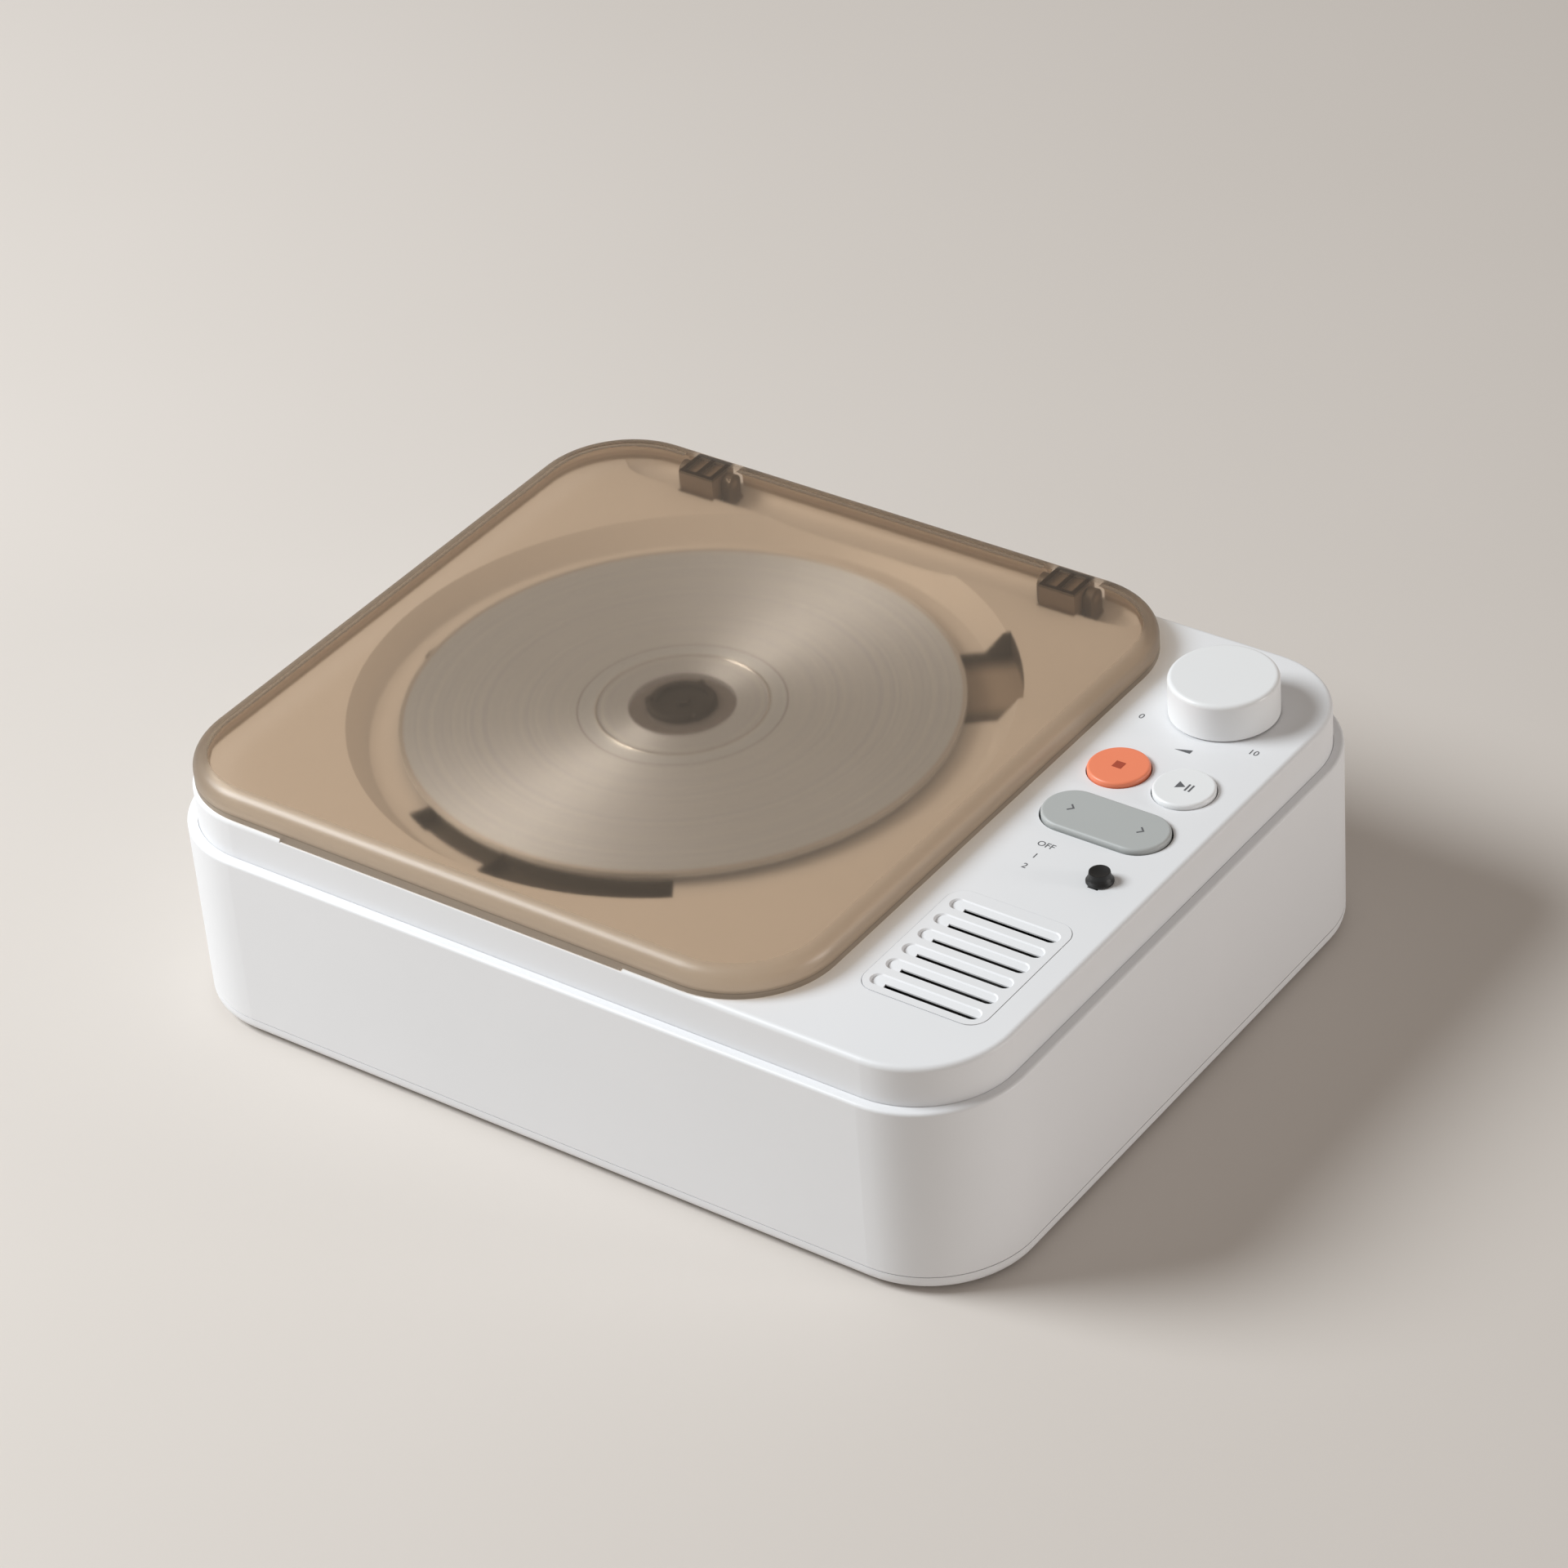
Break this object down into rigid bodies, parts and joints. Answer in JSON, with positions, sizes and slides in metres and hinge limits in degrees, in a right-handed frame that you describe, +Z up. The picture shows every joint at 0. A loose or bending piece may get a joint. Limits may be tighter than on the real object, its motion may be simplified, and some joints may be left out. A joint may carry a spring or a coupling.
{
  "type": "compact disc player",
  "caption": "Flat white disc player with a hinged smoke lid over a top well, side strip of knob, buttons and slotted speaker, slots for hanging.",
  "frame": {"origin": "under the middle of the case, on the plane that the feet stand on", "axes": "+X to the right along the front, +Y from the front to the hinge side, +Z up out of the deck"},
  "size_m": [0.2044, 0.1624, 0.0636],
  "materials": {
    "case_white": "fine satin moulded white",
    "knob_white": "smooth satin white",
    "stop_orange": "smooth satin coral orange",
    "rocker_grey": "smooth satin grey",
    "knob_black": "satin black",
    "black_plastic": "fine moulded black",
    "feet_rubber": "matte dark grey",
    "damper_rubber": "matte black",
    "steel": "turned bright",
    "lid_smoke": "frosted translucent smoke brown",
    "lug_brown": "dark brown moulded",
    "disc_silver": "mirror silver under clear polycarbonate",
    "turntable_grey": "grey moulded",
    "hub_dark": "dark moulded",
    "gear_ivory": "waxy ivory acetal",
    "lens_glass": "coated clear",
    "pot_body": "blue black moulded",
    "dome_silicone": "translucent silicone",
    "board_green": "solder mask over laminate",
    "cone_paper": "pressed paper",
    "magnet_grey": "ground ferrite and plated steel",
    "chip_black": "moulded black with sleeved capacitors",
    "flex_amber": "amber film"
  },
  "bodies": {
    "case": {"base_cover": "case_white", "rubber_feet": "feet_rubber", "case_screws": "steel", "lower_case": "case_white", "top_case": "case_white", "hinge_pins": "steel", "spindle_motor": "steel", "mech_chassis": "black_plastic", "mech_dampers": "damper_rubber", "damper_screws": "steel", "guide_rods": "steel", "gear_clip": "steel", "sled_motor": "steel", "volume_pot": "pot_body", "stop_dome": "dome_silicone", "play_dome": "dome_silicone", "rocker_pin": "steel", "rocker_domes": "dome_silicone", "mode_switch": "black_plastic", "control_board": "board_green", "board_screws": "steel", "speaker_grille": "case_white", "speaker_gasket": "damper_rubber", "speaker_frame": "black_plastic", "speaker_cone": "cone_paper", "speaker_magnet": "magnet_grey", "speaker_screws": "steel", "main_board": "board_green", "board_parts": "chip_black", "audio_jack": "black_plastic", "power_jack": "black_plastic", "power_jack_pin": "steel", "pickup_flex": "flex_amber", "panel_ribbon": "flex_amber"},
    "lid_body": {"lid": "lid_smoke", "lid_hinge_lugs": "lug_brown"},
    "volume": {"volume_knob": "knob_white", "pot_shaft": "steel"},
    "stop": {"stop_button": "stop_orange"},
    "play": {"play_button": "knob_white"},
    "rocker": {"skip_rocker": "rocker_grey"},
    "mode": {"mode_knob": "knob_black"},
    "spindle": {"disc": "disc_silver", "turntable": "turntable_grey", "disc_hub": "hub_dark", "hub_balls": "steel", "spindle_shaft": "steel"},
    "sled": {"pickup_sled": "black_plastic", "sled_rack": "gear_ivory"},
    "lens": {"lens_holder": "black_plastic", "pickup_lens": "lens_glass"},
    "middle_gear": {"drive_gear": "gear_ivory"},
    "motor_gear": {"motor_pinion": "gear_ivory", "sled_motor_shaft": "steel"}
  },
  "joints": [
    {"name": "lid_hinge", "type": "hinge", "parent": "case", "child": "lid_body", "pos_m": [-0.0206, 0.0743, 0.0565], "axis": [-1, 0, 0], "range_deg": [0, 80]},
    {"name": "volume_turn", "type": "hinge", "parent": "case", "child": "volume", "pos_m": [0.07895, 0.055, 0.055], "axis": [0, 0, 1], "range_deg": [-150, 150]},
    {"name": "stop_press", "type": "slide", "parent": "case", "child": "stop", "axis": [0, 0, -1], "range_m": [0, 0.0008], "stiffness_N_per_m": 1200, "deforming": ["stop_dome"]},
    {"name": "play_press", "type": "slide", "parent": "case", "child": "play", "axis": [0, 0, -1], "range_m": [0, 0.0008], "stiffness_N_per_m": 1200, "deforming": ["play_dome"]},
    {"name": "skip_tilt", "type": "hinge", "parent": "case", "child": "rocker", "pos_m": [0.07895, 0.009, 0.0496], "axis": [0, 1, 0], "range_deg": [-3, 3], "stiffness_Nm_per_rad": 0.3},
    {"name": "mode_slide", "type": "slide", "parent": "case", "child": "mode", "axis": [0, 1, 0], "range_m": [-0.0018, 0.0018]},
    {"name": "disc_spin", "type": "hinge", "parent": "case", "child": "spindle", "pos_m": [-0.0224, 0.0029, 0.05], "axis": [0, 0, 1], "continuous": true},
    {"name": "sled_slide", "type": "slide", "parent": "case", "child": "sled", "axis": [-1, 0, 0], "range_m": [0, 0.033]},
    {"name": "middle_gear_spin", "type": "hinge", "parent": "case", "child": "middle_gear", "pos_m": [-0.0364, 0.0234, 0.044], "axis": [0, 0, 1], "range_deg": [-640, 0]},
    {"name": "motor_gear_spin", "type": "hinge", "parent": "case", "child": "motor_gear", "pos_m": [-0.0364, 0.0319, 0.044], "axis": [0, 0, 1], "range_deg": [0, 1530]},
    {"name": "lens_focus", "type": "slide", "parent": "sled", "child": "lens", "axis": [0, 0, 1], "range_m": [-0.0004, 0.0004], "stiffness_N_per_m": 100}
  ],
  "couplings": [
    {"joint": "middle_gear_spin", "follows": "sled_slide", "rad_per_m": -333.33},
    {"joint": "motor_gear_spin", "follows": "sled_slide", "rad_per_m": 800}
  ]
}
